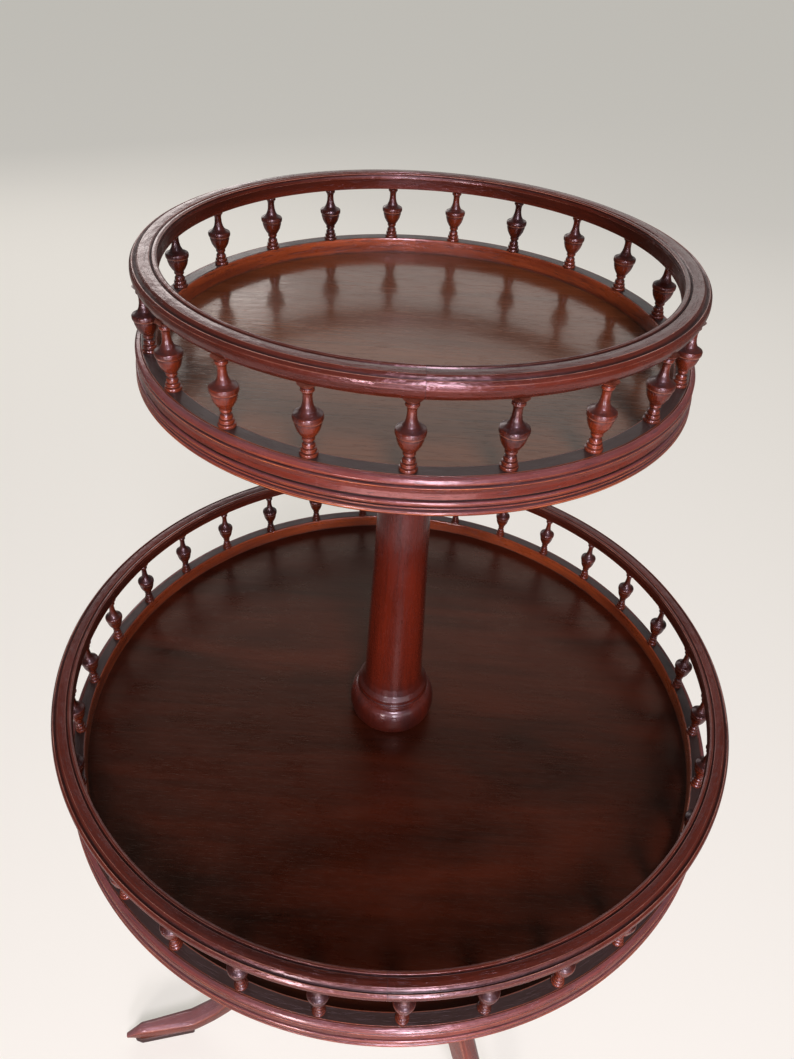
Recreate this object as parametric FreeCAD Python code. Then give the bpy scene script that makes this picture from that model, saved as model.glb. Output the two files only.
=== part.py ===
import FreeCAD, Part
import math
import os

# A two-tier serving table in turned hardwood. Two round trays with spindle galleries share one
# turned column, which stands on a turned pedestal with three splayed legs.
# Millimetres, +Z up, origin on the floor on the column's axis, the front towards -Y.

V = FreeCAD.Vector
UP = V(0, 0, 1)
ORIGIN = V(0, 0, 0)
full_turn = 360
half_turn = 180

# Clearances
glue_gap = 0.1
bore_gap = 0.2
overrun = 5

# Flat sides round each slim turned piece, few enough to keep its mesh light
turning_sides = 24
spindle_sides = 8
cleat_sides = 8
peg_sides = 8

# Heights of the stack, from the floor up
pedestal_foot_height = 245
pedestal_height = 331
cleat_thickness = 18
board_thickness = 12
column_height = 330.6

# Upper tray
upper_rail_radius = 168.7
upper_ring_radius = 168.6
upper_ring_height = 10.9
upper_spindle_length = 38.6
upper_spindle_count = 21
upper_first_spindle_angle = 270.2
upper_cleat_radius = 57

# Lower tray
lower_rail_radius = 280
lower_ring_radius = 274
lower_ring_height = 13.6
lower_spindle_length = 47.9
lower_spindle_count = 31
lower_first_spindle_angle = 274.5
lower_cleat_radius = 75

# Gallery rail section, the same on both trays
rail_width = 15.7
rail_height = 11.6
rail_bead_drop = 2.6
rail_bead_width = 4.2
rail_foot_setback = 3.2
rail_joint_angle = 272

# Base ring and edge moulding section, the same on both trays
ring_width = 9.2
spindle_inset = 5
moulding_width = 5.3
moulding_height = 20.4
moulding_lip_width = 3.8
moulding_lip_drop = 2.6

# Spindle turning, as shares of its length and of its belly radius
spindle_belly_radius = 7.6
spindle_height_shares = (0, 0.2, 0.53, 0.78, 1)
spindle_radius_shares = (0.64, 0.36, 1, 0.3, 0.6)

# Column turning, from the lower board up
column_foot_radius = 34
column_torus_radius = 37.4
column_torus_height = 31
column_groove_radius = 29
column_groove_height = 1.6
column_collar_radius = 30.4
column_collar_height = 12
column_fillet_radius = 26.5
column_fillet_height = 4
column_shaft_radius = 24.9
column_top_radius = 17
column_tenon_radius = 12
bead_bands = 4

# Joining stud between column and pedestal
stud_radius = 4
stud_depth = 40

# Pedestal turning, from the leg drum up
drum_radius = 34
drum_height = 92
drum_chamfer = 3
pedestal_ring_radius = 38
pedestal_ring_height = 14
pedestal_capital_root = 29
pedestal_capital_radius = 36
pedestal_capital_height = 18

# Pedestal vase, as shares of its length and of its belly radius
vase_belly_radius = 31
vase_height_shares = (0, 0.08, 0.18, 0.28, 0.4, 0.53, 0.66, 0.78, 0.9)
vase_radius_shares = (0.65, 0.85, 0.97, 1, 0.92, 0.72, 0.56, 0.56, 0.68)

# Cleats
cleat_chamfer = 6

# Legs
left_leg_angle = 195.5
front_right_leg_angle = 315.5
back_leg_angle = 75.5
leg_width = 22
leg_shoulder = 30
leg_end_height = 80
tongue_depth = 10
tongue_root_width = 9
tongue_tip_width = 12
tongue_drop = 8
foot_reach = 325
foot_length = 84
foot_top_height = 29.5
toe_length = 21
toe_width = 14
toe_tip_width = 5
toe_tip_height = 14

# Leg outline, plan radius as a share of the foot's reach and height as a share of the pedestal's foot height
shin_top_share = (0.41, 0.96)
shin_foot_share = (0.6, 0.29)
instep_share = (0.668, 0.18)
calf_top_share = (0.345, 0.84)
calf_foot_share = (0.469, 0.424)

# Foot pads, set off from the foot above them
pad_thickness = 10
pad_width = 19.4
pad_shoulder_width = 17.2
pad_tip_width = 8
pad_heel_overhang = 1
pad_shoulder_overhang = 2
pad_tip_setback = 11

# Three-armed brace under the pedestal
brace_thickness = 1.6
brace_hub_radius = 22
brace_arm_width = 13
brace_reach = 78

# Screws
screw_radius = 2
screw_head_radius = 3.8
screw_head_height = 2.4
cleat_screw_bite = 8
cleat_screw_count = 3
cleat_screw_share = 0.72
brace_screw_length = 20
brace_screw_circle = 64

# Levels that follow from the stack
drum_top = pedestal_foot_height + drum_height
pedestal_top = pedestal_foot_height + pedestal_height
lower_board_bottom = pedestal_top + cleat_thickness
lower_board_top = lower_board_bottom + board_thickness
column_top = lower_board_top + column_height
upper_board_bottom = column_top + cleat_thickness
brace_bottom = pedestal_foot_height - brace_thickness

# Plan radii along a foot, and the direction of each leg
ankle_radius = foot_reach - foot_length
toe_radius = foot_reach - toe_length
leg_angles = {"left": left_leg_angle, "front_right": front_right_leg_angle, "back": back_leg_angle}


def polar(radius, degrees, height=0):
    angle = math.radians(degrees)
    return V(radius * math.cos(angle), radius * math.sin(angle), height)


def closed_face(points):
    return Part.Face(Part.makePolygon(points + points[:1]))


# An outline is a list of (radius, height) points in order, revolved into a round ring or disc
def revolved(outline, start=0, sweep=full_turn):
    face = closed_face([V(radius, 0, height) for radius, height in outline])
    face.rotate(ORIGIN, UP, start)
    return face.revolve(ORIGIN, UP, sweep)


# The same from the foot up to the top of a slim turned piece, with flat sides
def lathed(outline, sides, centre=ORIGIN):
    turns = [full_turn * side / sides for side in range(sides)]
    rings = [[centre + polar(radius, turn, height) for turn in turns] for radius, height in outline]
    faces = [closed_face(rings[0]), closed_face(rings[-1])]
    for low, high in zip(rings, rings[1:]):
        for side in range(sides):
            after = (side + 1) % sides
            faces.append(closed_face([low[side], low[after], high[after], high[side]]))
    return Part.Solid(Part.Shell(faces))


# Points of a bead between two (radius, height) points, its crest at the given radius
def bead(foot, top, crest):
    points = []
    for band in range(bead_bands + 1):
        share = band / bead_bands
        across = math.sin(math.pi * share)
        up = (1 - math.cos(math.pi * share)) / 2
        root = foot[0] + (top[0] - foot[0]) * up
        points.append((root + (crest - root) * across, foot[1] + (top[1] - foot[1]) * up))
    return points


def plan_prism(half_corners, bottom, height):
    corners = half_corners + [(x, -y) for x, y in reversed(half_corners)]
    return closed_face([V(x, y, bottom) for x, y in corners]).extrude(V(0, 0, height))


def cut_all(shape, tools):
    for tool in tools:
        shape = shape.cut(tool)
    return shape


# A screw driven upwards, its countersunk head flush with head_level
def screw(centre, head_level, length, gap=0):
    outline = [
        (screw_head_radius + gap, head_level),
        (screw_radius + gap, head_level + screw_head_height),
        (screw_radius + gap, head_level + length + gap),
    ]
    return lathed(outline, peg_sides, centre)


def export(name, shape):
    shape.exportStep(f"parts/{name}.step")


# A round tray: a board, a base ring on it, spindles, a two-part rail, and a moulding round the edge
class Tray:
    def __init__(self, name, board_bottom, rail_radius, ring_radius, ring_height, spindle_length):
        self.name = name
        self.board_bottom = board_bottom
        self.board_top = board_bottom + board_thickness
        self.ring_radius = ring_radius
        self.ring_top = self.board_top + ring_height
        self.spindle_length = spindle_length
        self.spindle_circle = ring_radius - spindle_inset
        self.rail_radius = rail_radius
        self.rail_bottom = self.ring_top + spindle_length


# Gallery spindle: a flared foot, an urn, a slim neck and a flared cap
def spindle(length):
    shares = zip(spindle_radius_shares, spindle_height_shares)
    outline = [(spindle_belly_radius * across, length * up) for across, up in shares]
    return lathed(outline, spindle_sides)


def placed_spindles(tray, count, first_angle):
    model = spindle(tray.spindle_length)
    model.translate(V(tray.spindle_circle, 0, tray.ring_top))
    placed = []
    for number in range(count):
        angle = (first_angle + full_turn * number / count) % full_turn
        copy = model.copy()
        copy.rotate(ORIGIN, UP, angle)
        placed.append((angle, copy))
    return placed


# Gallery rail: a flat cap with a lower, bulging bead outside, bent in two halves
def rail_half(tray, start):
    inner = tray.rail_radius - rail_width
    top = tray.rail_bottom + rail_height
    outline = [
        (inner, tray.rail_bottom),
        (inner, top),
        (tray.rail_radius - rail_bead_width, top),
        (tray.rail_radius, top - rail_bead_drop - rail_bead_width / 2),
        (tray.rail_radius - rail_foot_setback, tray.rail_bottom),
    ]
    return revolved(outline, start, half_turn)


def base_ring(tray):
    inner = tray.ring_radius - ring_width
    outline = [
        (inner, tray.board_top),
        (inner, tray.ring_top),
        (tray.ring_radius, tray.ring_top),
        (tray.ring_radius, tray.board_top),
    ]
    return revolved(outline)


# Edge moulding: a sloping lip and a splayed fascia, wrapped round board and base ring
def edge_moulding(tray):
    inner = tray.ring_radius + glue_gap
    fascia_bottom = tray.ring_top - moulding_height
    outline = [
        (inner, tray.ring_top - glue_gap),
        (inner + moulding_lip_width, tray.ring_top - moulding_lip_drop),
        (inner + moulding_width, fascia_bottom),
        (inner, fascia_bottom),
    ]
    return revolved(outline)


# Tray board and the eight-sided cleat that stiffens it, with the cleat's screws
def cleat_screws(tray, cleat_radius, gap=0):
    circle = cleat_radius * cleat_screw_share
    head_level = tray.board_bottom - cleat_thickness
    length = cleat_thickness + cleat_screw_bite
    turns = [full_turn * number / cleat_screw_count for number in range(cleat_screw_count)]
    return [screw(polar(circle, turn), head_level, length, gap) for turn in turns]


def tray_board(tray, holes):
    outline = [
        (0, tray.board_bottom),
        (tray.ring_radius, tray.board_bottom),
        (tray.ring_radius, tray.board_top),
        (0, tray.board_top),
    ]
    return cut_all(revolved(outline), holes)


def cleat(tray, cleat_radius, holes):
    bottom = tray.board_bottom - cleat_thickness
    outline = [
        (cleat_radius - cleat_chamfer, bottom),
        (cleat_radius, bottom + cleat_chamfer),
        (cleat_radius, tray.board_bottom),
    ]
    return cut_all(lathed(outline, cleat_sides), holes)


def export_tray(tray, cleat_radius, cleat_bore, board_bores):
    holes = cleat_screws(tray, cleat_radius, glue_gap)
    export(f"{tray.name}_tray_board", tray_board(tray, holes + board_bores))
    export(f"{tray.name}_cleat", cleat(tray, cleat_radius, holes + [cleat_bore]))
    export(f"{tray.name}_cleat_screws", Part.makeCompound(cleat_screws(tray, cleat_radius)))
    export(f"{tray.name}_base_ring", base_ring(tray))
    export(f"{tray.name}_edge_moulding", edge_moulding(tray))
    export(f"{tray.name}_rail_right", rail_half(tray, rail_joint_angle))
    export(f"{tray.name}_rail_left", rail_half(tray, rail_joint_angle - half_turn))


# Joining stud: it pins the column to the pedestal through the lower tray
def joining_stud(gap=0):
    radius = stud_radius + gap
    outline = [(radius, pedestal_top - stud_depth - gap), (radius, lower_board_top + stud_depth + gap)]
    return lathed(outline, peg_sides)


# Column: a round torus and a collar at its foot, a long tapered shaft, and a tenon in the upper cleat
def column_tenon(gap=0):
    radius = column_tenon_radius + gap
    return lathed([(radius, column_top), (radius, upper_board_bottom)], turning_sides)


def column():
    torus_top = lower_board_top + column_torus_height
    collar_bottom = torus_top + column_groove_height
    collar_top = collar_bottom + column_collar_height
    torus_foot = (column_foot_radius, lower_board_top)
    outline = bead(torus_foot, (column_groove_radius, torus_top), column_torus_radius)
    collar_foot = (column_groove_radius, collar_bottom)
    outline += bead(collar_foot, (column_fillet_radius, collar_top), column_collar_radius)
    outline += [(column_shaft_radius, collar_top + column_fillet_height), (column_top_radius, column_top)]
    return lathed(outline, turning_sides).fuse(column_tenon()).cut(joining_stud(bore_gap))


# Pedestal: a drum for the legs, a ring, a vase, and a capital under the lower cleat
def pedestal():
    ring_top = drum_top + pedestal_ring_height
    capital_bottom = pedestal_top - pedestal_capital_height
    vase_length = capital_bottom - ring_top
    outline = [
        (drum_radius - drum_chamfer, pedestal_foot_height),
        (drum_radius, pedestal_foot_height + drum_chamfer),
    ]
    outline += bead((drum_radius, drum_top), (drum_radius, ring_top), pedestal_ring_radius)
    for across, up in zip(vase_radius_shares, vase_height_shares):
        outline.append((vase_belly_radius * across, ring_top + vase_length * up))
    capital_foot = (pedestal_capital_root, capital_bottom)
    outline += bead(capital_foot, (pedestal_capital_root, pedestal_top), pedestal_capital_radius)
    body = lathed(outline, turning_sides).cut(joining_stud(bore_gap))
    for angle in leg_angles.values():
        seat = leg_seat()
        seat.rotate(ORIGIN, UP, angle)
        body = body.cut(seat)
    return body


# Legs, drawn along +X and then turned to their angles. Each slides up the drum on a dovetail tongue.
def tongue(gap=0):
    half_plan = [
        (leg_shoulder - tongue_depth - gap, tongue_tip_width / 2 + gap),
        (leg_shoulder, tongue_root_width / 2 + gap),
    ]
    return plan_prism(half_plan, pedestal_foot_height, leg_end_height - tongue_drop + gap)


def leg_seat():
    half_width = leg_width / 2 + glue_gap
    half_plan = [(leg_shoulder - glue_gap, half_width), (drum_radius + overrun, half_width)]
    flat = plan_prism(half_plan, pedestal_foot_height, leg_end_height + glue_gap)
    return flat.fuse(tongue(glue_gap))


def on_leg(share):
    across, up = share
    return V(foot_reach * across, 0, pedestal_foot_height * up)


# The arc from start to end that leaves start along the given direction
def tangent_arc(start, direction, end):
    chord = end - start
    along = V(chord).normalize()
    heading = V(direction).normalize()
    turn_cosine = heading.dot(along)
    bulge = (heading - along * turn_cosine) * (chord.Length / (1 + turn_cosine))
    middle = (start + end + bulge) * (1 / 2)
    return Part.Arc(start, middle, end).toShape()


def leg_outline():
    shoulder_top = V(leg_shoulder, 0, pedestal_foot_height + leg_end_height)
    shoulder_foot = V(leg_shoulder, 0, pedestal_foot_height)
    knee_back = V(brace_reach + brace_arm_width / 2, 0, pedestal_foot_height)
    shin_top = on_leg(shin_top_share)
    shin_foot = on_leg(shin_foot_share)
    instep = on_leg(instep_share)
    calf_top = on_leg(calf_top_share)
    calf_foot = on_leg(calf_foot_share)
    heel = V(ankle_radius, 0, pad_thickness)
    foot = [
        instep,
        V(ankle_radius, 0, foot_top_height),
        V(toe_radius, 0, foot_top_height),
        V(foot_reach, 0, toe_tip_height),
        V(foot_reach - (toe_tip_height - pad_thickness), 0, pad_thickness),
        heel,
    ]
    edges = [
        Part.makeLine(shoulder_foot, shoulder_top),
        tangent_arc(shin_top, shin_top - shin_foot, shoulder_top),
        Part.makeLine(shin_top, shin_foot),
        tangent_arc(shin_foot, shin_foot - shin_top, instep),
    ]
    edges += [Part.makeLine(start, end) for start, end in zip(foot, foot[1:])]
    edges += [
        tangent_arc(calf_foot, calf_foot - calf_top, heel),
        Part.makeLine(calf_foot, calf_top),
        tangent_arc(calf_top, calf_top - calf_foot, knee_back),
        Part.makeLine(knee_back, shoulder_foot),
    ]
    return Part.Face(Part.Wire(edges))


def leg():
    blank = leg_outline().extrude(V(0, leg_width, 0))
    blank.translate(V(0, -leg_width / 2, 0))
    half_plan = [
        (0, leg_width / 2),
        (ankle_radius, leg_width / 2),
        (toe_radius, toe_width / 2),
        (foot_reach, toe_tip_width / 2),
    ]
    shaped = blank.common(plan_prism(half_plan, 0, pedestal_top)).fuse(tongue())
    return shaped.cut(screw(polar(brace_screw_circle, 0), brace_bottom, brace_screw_length, glue_gap))


def foot_pad():
    half_plan = [
        (ankle_radius - pad_heel_overhang, pad_width / 2),
        (toe_radius + pad_shoulder_overhang, pad_shoulder_width / 2),
        (foot_reach - pad_tip_setback, pad_tip_width / 2),
    ]
    return plan_prism(half_plan, 0, pad_thickness)


# Steel brace and its screws under the pedestal and the legs' ends
def brace_screws(gap=0):
    places = [polar(brace_screw_circle, angle) for angle in leg_angles.values()]
    return [screw(place, brace_bottom, brace_screw_length, gap) for place in places]


def leg_brace():
    hub_outline = [(brace_hub_radius, brace_bottom), (brace_hub_radius, pedestal_foot_height)]
    plate = lathed(hub_outline, turning_sides)
    half_plan = [(0, brace_arm_width / 2), (brace_reach, brace_arm_width / 2)]
    for angle in leg_angles.values():
        arm = plan_prism(half_plan, brace_bottom, brace_thickness)
        arm.rotate(ORIGIN, UP, angle)
        plate = plate.fuse(arm)
    return cut_all(plate.removeSplitter(), brace_screws(glue_gap))


os.makedirs("parts", exist_ok=True)

upper = Tray(
    "upper", upper_board_bottom, upper_rail_radius, upper_ring_radius, upper_ring_height, upper_spindle_length
)
lower = Tray(
    "lower", lower_board_bottom, lower_rail_radius, lower_ring_radius, lower_ring_height, lower_spindle_length
)
export_tray(upper, upper_cleat_radius, column_tenon(glue_gap), [])
export_tray(lower, lower_cleat_radius, joining_stud(bore_gap), [joining_stud(bore_gap)])

# The upper spindles are nodes of their own, and the lower ones are grouped by the rail half they carry
upper_spindles = placed_spindles(upper, upper_spindle_count, upper_first_spindle_angle)
for number, (angle, shape) in enumerate(upper_spindles, 1):
    export(f"upper_spindle_{number:02d}", shape)

halves = {"left": [], "right": []}
for angle, shape in placed_spindles(lower, lower_spindle_count, lower_first_spindle_angle):
    on_left = rail_joint_angle - half_turn < angle < rail_joint_angle
    halves["left" if on_left else "right"].append(shape)
for side, shapes in halves.items():
    export(f"lower_spindles_{side}", Part.makeCompound(shapes))

export("column", column())
export("joining_stud", joining_stud())
export("pedestal", pedestal())
export("leg_brace", leg_brace())
export("brace_screws", Part.makeCompound(brace_screws()))

for side, angle in leg_angles.items():
    for name, shape in ((f"leg_{side}", leg()), (f"foot_pad_{side}", foot_pad())):
        shape.rotate(ORIGIN, UP, angle)
        export(name, shape)
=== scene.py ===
import bpy
import math
import random
from mathutils import Matrix, Vector


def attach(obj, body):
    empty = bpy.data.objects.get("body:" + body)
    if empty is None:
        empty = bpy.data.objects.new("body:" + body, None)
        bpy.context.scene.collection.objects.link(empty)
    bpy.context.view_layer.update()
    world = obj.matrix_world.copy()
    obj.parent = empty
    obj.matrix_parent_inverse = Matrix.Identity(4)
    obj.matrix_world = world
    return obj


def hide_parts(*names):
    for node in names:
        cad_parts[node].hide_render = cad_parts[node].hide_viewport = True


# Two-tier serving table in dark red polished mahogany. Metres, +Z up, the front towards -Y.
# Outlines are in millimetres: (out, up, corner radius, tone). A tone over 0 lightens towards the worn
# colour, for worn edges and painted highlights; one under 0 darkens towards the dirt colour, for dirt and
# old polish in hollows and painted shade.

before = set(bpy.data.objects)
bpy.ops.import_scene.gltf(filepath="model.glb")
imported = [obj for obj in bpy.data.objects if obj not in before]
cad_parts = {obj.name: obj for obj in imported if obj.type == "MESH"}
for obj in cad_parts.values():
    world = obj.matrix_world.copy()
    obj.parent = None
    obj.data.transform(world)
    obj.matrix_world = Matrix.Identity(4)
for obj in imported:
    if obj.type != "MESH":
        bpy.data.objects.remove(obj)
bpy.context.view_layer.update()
print("frame loaded,", len(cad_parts), "nodes")

mm = 0.001
chance = random.Random(11)
grainSpread = 9  # metres of timber from which each piece draws its own part of the grain


# Camera
cameraView = {
    "imageSize": (794, 1059),
    "focalPixels": 804.75,
    "place": (0.0, -0.481, 1.1924),
    "pitchDown": 38.44,
    "roll": 3.572,
    "yaw": -0.528,
    "sensor": 36.0,
    "clip": (0.01, 200),
}


def placeCamera(view):
    pitch, roll, yaw = (math.radians(view[key]) for key in ("pitchDown", "roll", "yaw"))
    ahead = Vector((math.sin(yaw) * math.cos(pitch), math.cos(yaw) * math.cos(pitch), -math.sin(pitch)))
    level = Vector((math.cos(yaw), -math.sin(yaw), 0))
    upright = level.cross(ahead)
    side = level * math.cos(roll) + upright * math.sin(roll)
    top = upright * math.cos(roll) - level * math.sin(roll)
    data = bpy.data.cameras.new("photoCamera")
    data.sensor_fit = "VERTICAL"
    data.sensor_height = view["sensor"]
    data.lens = view["focalPixels"] / view["imageSize"][1] * view["sensor"]
    data.clip_start, data.clip_end = view["clip"]
    camera = bpy.data.objects.new("photoCamera", data)
    turn = Matrix((side, top, -ahead)).transposed().to_4x4()
    camera.matrix_world = Matrix.Translation(view["place"]) @ turn
    bpy.context.scene.collection.objects.link(camera)
    bpy.context.scene.camera = camera


placeCamera(cameraView)
print("camera placed")


# Node helpers. What feeds a socket is another node's output or a plain value.
def addNode(tree, kind, links=None, **settings):
    node = tree.nodes.new("ShaderNode" + kind)
    for key, value in settings.items():
        setattr(node, key, value)
    for socket, source in (links or {}).items():
        if isinstance(source, bpy.types.NodeSocket):
            tree.links.new(source, node.inputs[socket])
        else:
            node.inputs[socket].default_value = source
    return node


def addMath(tree, operation, first, second, clamp=False):
    node = addNode(tree, "Math", {0: first, 1: second}, operation=operation, use_clamp=clamp)
    return node.outputs[0]


# Sockets 6 and 7 and output 2 are the Mix node's colours
def addMix(tree, factor, first, second):
    return addNode(tree, "Mix", {"Factor": factor, 6: first, 7: second}, data_type="RGBA").outputs[2]


def addRange(tree, value, low, high, newLow=0.0, newHigh=1.0):
    links = {"Value": value, "From Min": low, "From Max": high, "To Min": newLow, "To Max": newHigh}
    return addNode(tree, "MapRange", links, interpolation_type="SMOOTHSTEP").outputs["Result"]


def addNoise(tree, point, stretch, detail, rough, twist=0.0):
    scaled = addNode(tree, "VectorMath", {0: point, 1: stretch}, operation="MULTIPLY")
    links = {"Vector": scaled.outputs[0], "Scale": 1.0, "Detail": detail, "Roughness": rough,
             "Distortion": twist}
    return addNode(tree, "TexNoise", links).outputs["Fac"]


def newGroup(name, inputs, outputs):
    tree = bpy.data.node_groups.new(name, "ShaderNodeTree")
    for way, sockets in (("INPUT", inputs), ("OUTPUT", outputs)):
        for label, kind in sockets.items():
            tree.interface.new_socket(label, in_out=way, socket_type="NodeSocket" + kind)
    return tree, tree.nodes.new("NodeGroupInput").outputs, tree.nodes.new("NodeGroupOutput").inputs


def useGroup(tree, group, links):
    return addNode(tree, "Group", links, node_tree=group).outputs


# Shared effects. A noise is its stretch along and across the grain, detail, roughness and twist.
# An edge is where a mask starts and ends, then the least and the most that it gives.
grainEffect = {
    "figure": ((3.0, 16.0, 16.0), 2.5, 0.5, 1.1),
    "streak": ((11.0, 260.0, 260.0), 4.0, 0.62, 0.35),
    "fleck": ((95.0, 1150.0, 1150.0), 2.0, 0.5),
    "middle": 0.5,
    "contrast": 2.6,
    "poreEdge": (0.585, 0.665),
    "poreShade": 0.8,
    "poreColour": (0.012, 0.003, 0.002, 1),
    "streakHeight": 0.25,
}


# Straight mahogany grain: slow figure, fine streaks, and short dark pores along the grain
def makeGrainGroup():
    tree, given, result = newGroup(
        "mahoganyGrain",
        {"Point": "Vector", "Deep Wood": "Color", "Warm Wood": "Color", "Figure": "Float",
         "Streaks": "Float", "Pores": "Float", "Balance": "Float"},
        {"Color": "Color", "Pore Mask": "Float", "Height": "Float"},
    )
    figure = addNoise(tree, given["Point"], *grainEffect["figure"])
    streak = addNoise(tree, given["Point"], *grainEffect["streak"])
    fleck = addNoise(tree, given["Point"], *grainEffect["fleck"])
    middle = grainEffect["middle"]
    figurePart = addMath(tree, "MULTIPLY", addMath(tree, "SUBTRACT", figure, middle), given["Figure"])
    streakPart = addMath(tree, "MULTIPLY", addMath(tree, "SUBTRACT", streak, middle), given["Streaks"])
    total = addMath(tree, "ADD", figurePart, streakPart)
    contrast = addMath(tree, "MULTIPLY", total, grainEffect["contrast"])
    blend = addMath(tree, "ADD", contrast, given["Balance"], clamp=True)
    pore = addMath(tree, "MULTIPLY", addRange(tree, fleck, *grainEffect["poreEdge"]), given["Pores"])
    base = addMix(tree, blend, given["Deep Wood"], given["Warm Wood"])
    shade = addMath(tree, "MULTIPLY", pore, grainEffect["poreShade"])
    darkened = addMix(tree, shade, base, grainEffect["poreColour"])
    ridge = addMath(tree, "MULTIPLY", streak, grainEffect["streakHeight"])
    tree.links.new(darkened, result["Color"])
    tree.links.new(pore, result["Pore Mask"])
    tree.links.new(addMath(tree, "SUBTRACT", ridge, pore), result["Height"])
    return tree


wearEffect = {
    "patch": ((38.0, 120.0, 120.0), 4.0, 0.65),
    "brokenEdge": (0.3, 0.72, 0.15, 1.25),
    "nick": ((170.0, 330.0, 330.0), 2.0, 0.5),
    "nickEdge": (0.69, 0.73),
    "nickTone": (0.1, 0.5),
    "dirtEdge": (0.25, 0.7, 0.6, 1.1),
}


# Worn edges and nicks with painted highlights, dirty hollows with painted shade, from the tone that each
# outline corner was given
def makeWearGroup():
    tree, given, result = newGroup(
        "edgeWear",
        {"Tone": "Float", "Point": "Vector", "Amount": "Float"},
        {"Worn": "Float", "Dirt": "Float"},
    )
    patch = addNoise(tree, given["Point"], *wearEffect["patch"])
    raised = addMath(tree, "MAXIMUM", given["Tone"], 0.0)
    hollow = addMath(tree, "MAXIMUM", addMath(tree, "MULTIPLY", given["Tone"], -1.0), 0.0)
    broken = addRange(tree, patch, *wearEffect["brokenEdge"])
    rubbed = addMath(tree, "MULTIPLY", addMath(tree, "MULTIPLY", raised, broken), given["Amount"])
    nick = addRange(tree, addNoise(tree, given["Point"], *wearEffect["nick"]), *wearEffect["nickEdge"])
    nicks = addMath(tree, "MULTIPLY", nick, addRange(tree, raised, *wearEffect["nickTone"]))
    worn = addMath(tree, "ADD", rubbed, addMath(tree, "MULTIPLY", nicks, given["Amount"]), clamp=True)
    settled = addRange(tree, patch, *wearEffect["dirtEdge"])
    dirt = addMath(tree, "MULTIPLY", hollow, settled, clamp=True)
    tree.links.new(worn, result["Worn"])
    tree.links.new(dirt, result["Dirt"])
    return tree


polishEffect = {
    "cloud": ((26.0, 34.0, 34.0), 4.0, 0.6, 0.3),
    "smear": ((120.0, 420.0, 420.0), 3.0, 0.6),
    "dents": ((70.0, 150.0, 150.0), 3.0, 0.55),
    "cloudShare": 0.7,
    "glossEdge": (0.35, 0.65),
    "upwardEdge": (0.15, 0.95),
    "bloomEdge": (0.2, 0.8, 0.6, 1.0),
}


# Old polish: cloudy gloss, and where a surface faces up a faint polish bloom with a painted sheen of the
# light above
def makePolishGroup():
    tree, given, result = newGroup(
        "oldPolish",
        {"Point": "Vector", "Gloss Low": "Float", "Gloss High": "Float", "Bloom": "Float"},
        {"Roughness": "Float", "Bloom Mask": "Float", "Height": "Float"},
    )
    cloud = addNoise(tree, given["Point"], *polishEffect["cloud"])
    smear = addNoise(tree, given["Point"], *polishEffect["smear"])
    dents = addNoise(tree, given["Point"], *polishEffect["dents"])
    cloudPart = addMath(tree, "MULTIPLY", cloud, polishEffect["cloudShare"])
    smearPart = addMath(tree, "MULTIPLY", smear, 1 - polishEffect["cloudShare"])
    low, high = polishEffect["glossEdge"]
    rough = addNode(tree, "MapRange", {
        "Value": addMath(tree, "ADD", cloudPart, smearPart), "From Min": low, "From Max": high,
        "To Min": given["Gloss Low"], "To Max": given["Gloss High"],
    })
    normal = addNode(tree, "NewGeometry").outputs["Normal"]
    upward = addNode(tree, "SeparateXYZ", {0: normal}).outputs["Z"]
    facing = addRange(tree, upward, *polishEffect["upwardEdge"])
    hazy = addRange(tree, cloud, *polishEffect["bloomEdge"])
    bloom = addMath(tree, "MULTIPLY", addMath(tree, "MULTIPLY", facing, hazy), given["Bloom"])
    tree.links.new(rough.outputs["Result"], result["Roughness"])
    tree.links.new(bloom, result["Bloom Mask"])
    tree.links.new(dents, result["Height"])
    return tree


grainGroup = makeGrainGroup()
wearGroup = makeWearGroup()
polishGroup = makePolishGroup()
print("shared effects made")


# Woods
# The worn colour also paints highlights, the dirt colour also paints shade, and the bloom colour is a
# painted sheen on faces turned up as well as a polish bloom
woodBase = {
    "deep": (0.030, 0.0045, 0.0025, 1),
    "warm": (0.165, 0.024, 0.0085, 1),
    "worn": (0.44, 0.21, 0.15, 1),
    "dirt": (0.004, 0.0018, 0.0014, 1),
    "bloom": (0.28, 0.155, 0.135, 1),
    "figure": 0.55,
    "streaks": 0.55,
    "pores": 0.6,
    "balance": 0.5,
    "wear": 0.6,
    "bloomAmount": 0.05,
    "glossLow": 0.17,
    "glossHigh": 0.33,
    "coat": 0.15,
    "coatRough": 0.12,
    "polishTint": (1.0, 0.74, 0.86, 1),
    "bend": 1.55,
    "relief": 0.00022,
    "dents": 0.0006,
    "poreRough": 0.2,
    "dirtRough": 0.3,
    "fromObject": False,
}


def newMaterial(name):
    material = bpy.data.materials.new(name)
    material.use_nodes = True
    material.node_tree.nodes.clear()
    return material, material.node_tree


def addSurface(tree, links):
    shader = addNode(tree, "BsdfPrincipled", links)
    addNode(tree, "OutputMaterial", {"Surface": shader.outputs[0]})


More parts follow.
